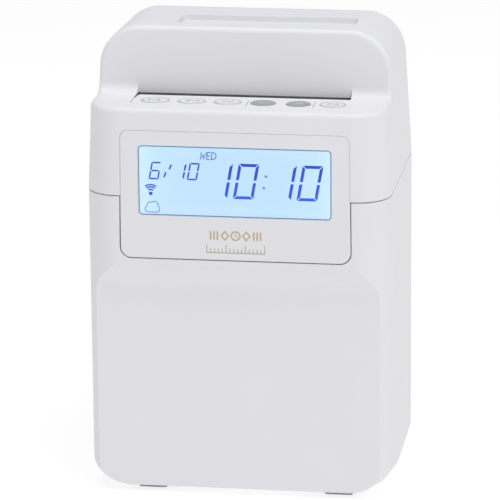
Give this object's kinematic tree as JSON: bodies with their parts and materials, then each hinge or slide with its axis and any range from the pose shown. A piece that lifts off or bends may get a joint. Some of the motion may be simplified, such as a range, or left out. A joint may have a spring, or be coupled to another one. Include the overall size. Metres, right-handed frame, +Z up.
{
  "type": "punch time clock",
  "caption": "Desk-top punch time clock: hinged upper cover with backlit display and sprung oval buttons, top card slot, card feed and sliding print head in a lower case on rubber feet.",
  "frame": {"origin": "centre of the outline, on the surface that the rubber feet stand on", "axes": "+Z up, the display and the card slot face -Y, +X to the viewer's right"},
  "size_m": [0.1551, 0.126, 0.2369],
  "materials": {
    "white_shell": "fine matt moulded plastic",
    "base_plastic": "matt moulded plastic",
    "rubber": "matt rubber",
    "key_cap": "satin plastic with a thin printed outline",
    "key_cap_grey": "satin grey plastic",
    "clear_window": "clear polished window",
    "lcd": "blue backlit segment display",
    "diffuser": "opal diffuser",
    "circuit_board": "green solder mask",
    "black_plastic": "matt black plastic",
    "grey_plastic": "matt grey plastic",
    "sheet_steel": "zinc-plated sheet",
    "bright_steel": "ground steel",
    "lock_metal": "satin chrome",
    "bronze": "sintered bronze",
    "gear_plastic": "natural acetal",
    "head_metal": "cast aluminium",
    "core_steel": "varnished laminations",
    "coil_wrap": "yellow tape over windings",
    "ribbon_cloth": "inked cloth"
  },
  "bodies": {
    "case": {"lower_case": "white_shell", "base_plate": "base_plastic", "base_screws": "bright_steel", "rubber_feet": "rubber", "hinge_pins": "bright_steel", "lock_housing": "lock_metal", "left_side_plate": "sheet_steel", "right_side_plate": "sheet_steel", "mechanism_deck": "sheet_steel", "cassette_tray": "sheet_steel", "front_card_guide": "sheet_steel", "rear_card_guide": "sheet_steel", "upper_rear_guide": "sheet_steel", "card_edge_guides": "grey_plastic", "card_stop": "black_plastic", "platen": "rubber", "feed_bearings": "bronze", "feed_motor": "bright_steel", "carriage_motor": "bright_steel", "carriage_rail": "bright_steel", "carriage_rear_rail": "bright_steel", "carriage_belt": "rubber", "ribbon_cassette": "black_plastic", "ink_ribbon": "ribbon_cloth", "main_board": "circuit_board", "board_parts": "black_plastic", "buzzer": "black_plastic", "transformer_core": "core_steel", "transformer_coil": "coil_wrap", "power_inlet": "black_plastic", "backup_battery": "grey_plastic"},
    "cover": {"upper_cover": "white_shell", "display_bezel": "white_shell", "display_lens": "clear_window", "lcd_panel": "lcd", "lcd_backlight": "diffuser", "display_board": "circuit_board", "display_screws": "bright_steel", "button_strip": "white_shell", "button_board": "circuit_board", "button_switches": "black_plastic"},
    "feed": {"feed_shaft": "bright_steel", "feed_rollers": "rubber", "feed_gear": "gear_plastic"},
    "pinch": {"pinch_shaft": "bright_steel", "pinch_rollers": "rubber"},
    "motor_pinion": {"motor_pinion": "gear_plastic"},
    "carriage": {"print_carriage": "black_plastic", "print_head": "head_metal"},
    "drive_pulley": {"drive_pulley": "gear_plastic"},
    "idler_pulley": {"idler_pulley": "gear_plastic"},
    "ribbon_knob": {"ribbon_knob": "grey_plastic"},
    "key": {"key_plug": "lock_metal"},
    "button_1": {"button_1": "key_cap"},
    "button_2": {"button_2": "key_cap"},
    "button_3": {"button_3": "key_cap"},
    "button_4": {"button_4": "key_cap_grey"},
    "button_5": {"button_5": "key_cap_grey"},
    "button_6": {"button_6": "key_cap"}
  },
  "joints": [
    {"name": "cover_hinge", "type": "hinge", "parent": "case", "child": "cover", "pos_m": [0, 0.0608, 0.158], "axis": [-1, 0, 0], "range_deg": [0, 75]},
    {"name": "key_turn", "type": "hinge", "parent": "case", "child": "key", "pos_m": [-0.073, -0.01, 0.146], "axis": [-1, 0, 0], "range_deg": [0, 90]},
    {"name": "feed_spin", "type": "hinge", "parent": "case", "child": "feed", "pos_m": [0, -0.0204, 0.12], "axis": [1, 0, 0], "continuous": true},
    {"name": "pinch_spin", "type": "hinge", "parent": "case", "child": "pinch", "pos_m": [0, -0.0338, 0.12], "axis": [1, 0, 0], "continuous": true},
    {"name": "motor_spin", "type": "hinge", "parent": "case", "child": "motor_pinion", "pos_m": [-0.062, 0.0016, 0.12], "axis": [1, 0, 0], "continuous": true},
    {"name": "carriage_slide", "type": "slide", "parent": "case", "child": "carriage", "axis": [1, 0, 0], "range_m": [0, 0.048]},
    {"name": "drive_pulley_spin", "type": "hinge", "parent": "case", "child": "drive_pulley", "pos_m": [0.042, 0.0015, 0.149], "axis": [0, 0, 1], "range_deg": [-560, 560]},
    {"name": "idler_pulley_spin", "type": "hinge", "parent": "case", "child": "idler_pulley", "pos_m": [-0.042, 0.0015, 0.149], "axis": [0, 0, 1], "range_deg": [-560, 560]},
    {"name": "ribbon_knob_turn", "type": "hinge", "parent": "case", "child": "ribbon_knob", "pos_m": [0.034, 0.03, 0.18], "axis": [0, 0, 1], "continuous": true},
    {"name": "button_1_press", "type": "slide", "parent": "cover", "child": "button_1", "axis": [0, 0, -1], "range_m": [0, 0.0008], "stiffness_N_per_m": 400, "springref_m": -0.0005},
    {"name": "button_2_press", "type": "slide", "parent": "cover", "child": "button_2", "axis": [0, 0, -1], "range_m": [0, 0.0008], "stiffness_N_per_m": 400, "springref_m": -0.0005},
    {"name": "button_3_press", "type": "slide", "parent": "cover", "child": "button_3", "axis": [0, 0, -1], "range_m": [0, 0.0008], "stiffness_N_per_m": 400, "springref_m": -0.0005},
    {"name": "button_4_press", "type": "slide", "parent": "cover", "child": "button_4", "axis": [0, 0, -1], "range_m": [0, 0.0008], "stiffness_N_per_m": 400, "springref_m": -0.0005},
    {"name": "button_5_press", "type": "slide", "parent": "cover", "child": "button_5", "axis": [0, 0, -1], "range_m": [0, 0.0008], "stiffness_N_per_m": 400, "springref_m": -0.0005},
    {"name": "button_6_press", "type": "slide", "parent": "cover", "child": "button_6", "axis": [0, 0, -1], "range_m": [0, 0.0008], "stiffness_N_per_m": 400, "springref_m": -0.0005}
  ],
  "couplings": [
    {"joint": "pinch_spin", "follows": "feed_spin", "ratio": -1.6},
    {"joint": "motor_spin", "follows": "feed_spin", "ratio": -2.6667},
    {"joint": "drive_pulley_spin", "follows": "carriage_slide", "rad_per_m": 181.82},
    {"joint": "idler_pulley_spin", "follows": "carriage_slide", "rad_per_m": 181.82}
  ]
}
